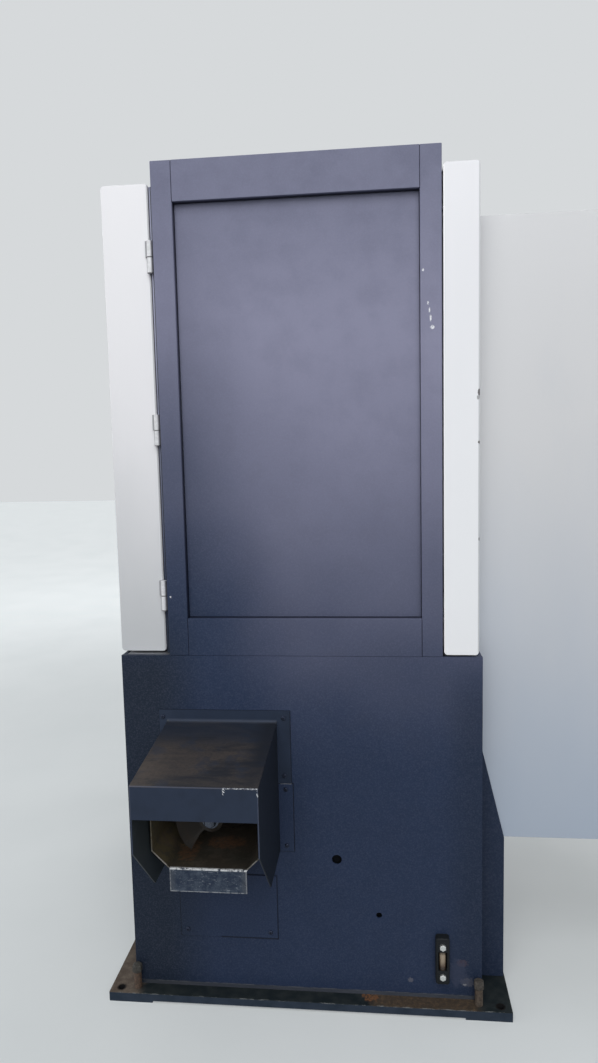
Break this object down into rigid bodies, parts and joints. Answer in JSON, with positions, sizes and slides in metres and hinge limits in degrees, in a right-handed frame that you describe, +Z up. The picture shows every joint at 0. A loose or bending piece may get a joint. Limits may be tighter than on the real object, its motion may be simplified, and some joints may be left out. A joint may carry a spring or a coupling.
{
  "type": "automatic sawing machine",
  "caption": "Automatic circular sawing machine for bar: blue column on a base with a chip auger outlet, hinged blade door, sliding saw head, vise and infeed enclosure.",
  "frame": {"origin": "centre of the underside of the whole machine, on the floor", "axes": "+Z up, +X along the bar towards the infeed, -Y out of the rear face where the chips come out"},
  "size_m": [1.6, 1.658, 2.105],
  "materials": {
    "navy_paint": "semi-gloss navy blue machine paint with fine orange peel",
    "navy_panel_paint": "satin navy blue paint with a pale haze",
    "silver_paint": "satin silver-grey metallic paint",
    "grey_paint": "satin light grey paint",
    "stained_navy": "navy paint with oily brown stains and bare edges",
    "worn_plate": "dark painted steel with rust and oil",
    "rusty_steel": "brown rusty steel",
    "chip_steel": "chip-worn steel with rust-brown stains",
    "bare_steel": "machined steel",
    "tooth_steel": "ground saw steel",
    "zinc_steel": "bright zinc plate",
    "machine_casting": "painted grey casting",
    "motor_paint": "dark grey motor paint",
    "brush_wire": "wire bristle",
    "black_plastic": "matt black moulding",
    "oil_sight": "clear tube filled with brown oil",
    "window_sheet": "clear polycarbonate",
    "red_plastic": "glossy red moulding",
    "green_plastic": "glossy green moulding"
  },
  "bodies": {
    "machine_frame": {"foot_plate": "worn_plate", "floor_pads": "worn_plate", "jack_bolts": "rusty_steel", "base_rear_wall": "navy_paint", "base_left_wall": "navy_paint", "base_right_wall": "navy_paint", "base_front_wall": "navy_paint", "base_table": "bare_steel", "side_gusset": "navy_paint", "chip_hood": "stained_navy", "hood_side_trims": "navy_paint", "lower_cover": "navy_paint", "cover_screws": "navy_paint", "chip_trough": "chip_steel", "auger_gearmotor": "motor_paint", "fluid_tank": "grey_paint", "level_gauge_body": "black_plastic", "level_gauge_tube": "oil_sight", "level_gauge_bolts": "zinc_steel", "left_stile": "navy_panel_paint", "right_stile": "navy_panel_paint", "top_rail": "navy_panel_paint", "bottom_rail": "navy_panel_paint", "rear_panel": "navy_panel_paint", "hinge_strip": "navy_panel_paint", "cabinet_roof": "navy_panel_paint", "front_frame": "navy_panel_paint", "right_cover": "silver_paint", "outfeed_cover": "silver_paint", "hinge_pintles": "silver_paint", "left_guide_rail": "bare_steel", "right_guide_rail": "bare_steel", "screw_servo": "black_plastic", "vise_bed": "machine_casting", "clamp_cylinder": "bare_steel", "infeed_beam": "machine_casting", "enclosure_shell": "grey_paint", "enclosure_end_panel": "grey_paint", "control_box": "grey_paint"},
    "blade_door": {"blade_door": "silver_paint", "hinge_sockets": "silver_paint"},
    "door_latch": {"door_latch": "zinc_steel"},
    "chip_auger": {"chip_auger": "chip_steel", "auger_end_bolt": "bare_steel"},
    "saw_head": {"head_saddle": "machine_casting", "gearbox_housing": "machine_casting", "main_motor": "motor_paint"},
    "saw_spindle": {"saw_spindle": "bare_steel", "saw_blade": "tooth_steel", "clamp_flange": "bare_steel"},
    "chip_brush": {"chip_brush": "brush_wire"},
    "feed_screw": {"feed_screw": "bare_steel"},
    "vise_jaw": {"vise_jaw": "bare_steel"},
    "feed_carriage": {"feed_carriage": "machine_casting"},
    "feed_jaw": {"feed_jaw": "bare_steel"},
    "front_door": {"front_door": "silver_paint", "front_window": "window_sheet"},
    "emergency_stop": {"emergency_stop": "red_plastic"},
    "start_button": {"start_button": "green_plastic"}
  },
  "joints": [
    {"name": "blade_door_swing", "type": "hinge", "parent": "machine_frame", "child": "blade_door", "pos_m": [-0.627, -0.5, 0.9175], "axis": [0, 0, 1], "range_deg": [0, 110]},
    {"name": "latch_turn", "type": "hinge", "parent": "blade_door", "child": "door_latch", "pos_m": [-0.746, 0.168, 1.49], "axis": [1, 0, 0], "range_deg": [0, 90]},
    {"name": "auger_spin", "type": "hinge", "parent": "machine_frame", "child": "chip_auger", "pos_m": [-0.487, -0.674, 0.56], "axis": [0, 1, 0], "continuous": true},
    {"name": "head_feed", "type": "slide", "parent": "machine_frame", "child": "saw_head", "axis": [0, 1, 0], "range_m": [0, 0.13]},
    {"name": "blade_spin", "type": "hinge", "parent": "saw_head", "child": "saw_spindle", "pos_m": [-0.487, 0.178, 1.12], "axis": [1, 0, 0], "continuous": true},
    {"name": "brush_spin", "type": "hinge", "parent": "saw_head", "child": "chip_brush", "pos_m": [-0.487, 0.015, 1.283], "axis": [1, 0, 0], "continuous": true},
    {"name": "screw_turn", "type": "hinge", "parent": "machine_frame", "child": "feed_screw", "pos_m": [-0.285, -0.132, 0.965], "axis": [0, 1, 0], "range_deg": [-2340, 0]},
    {"name": "vise_clamp", "type": "slide", "parent": "machine_frame", "child": "vise_jaw", "axis": [0, 0, -1], "range_m": [0, 0.06]},
    {"name": "carriage_feed", "type": "slide", "parent": "machine_frame", "child": "feed_carriage", "axis": [-1, 0, 0], "range_m": [0, 0.3]},
    {"name": "feed_clamp", "type": "slide", "parent": "feed_carriage", "child": "feed_jaw", "axis": [0, -1, 0], "range_m": [0, 0.06]},
    {"name": "front_door_swing", "type": "hinge", "parent": "machine_frame", "child": "front_door", "pos_m": [0.055, 0.756, 1.062], "axis": [0, 0, -1], "range_deg": [0, 110]},
    {"name": "emergency_press", "type": "slide", "parent": "machine_frame", "child": "emergency_stop", "axis": [0, -1, 0], "range_m": [0, 0.005]},
    {"name": "start_press", "type": "slide", "parent": "machine_frame", "child": "start_button", "axis": [0, -1, 0], "range_m": [0, 0.003], "stiffness_N_per_m": 800}
  ],
  "couplings": [
    {"joint": "screw_turn", "follows": "head_feed", "rad_per_m": -314.16}
  ]
}
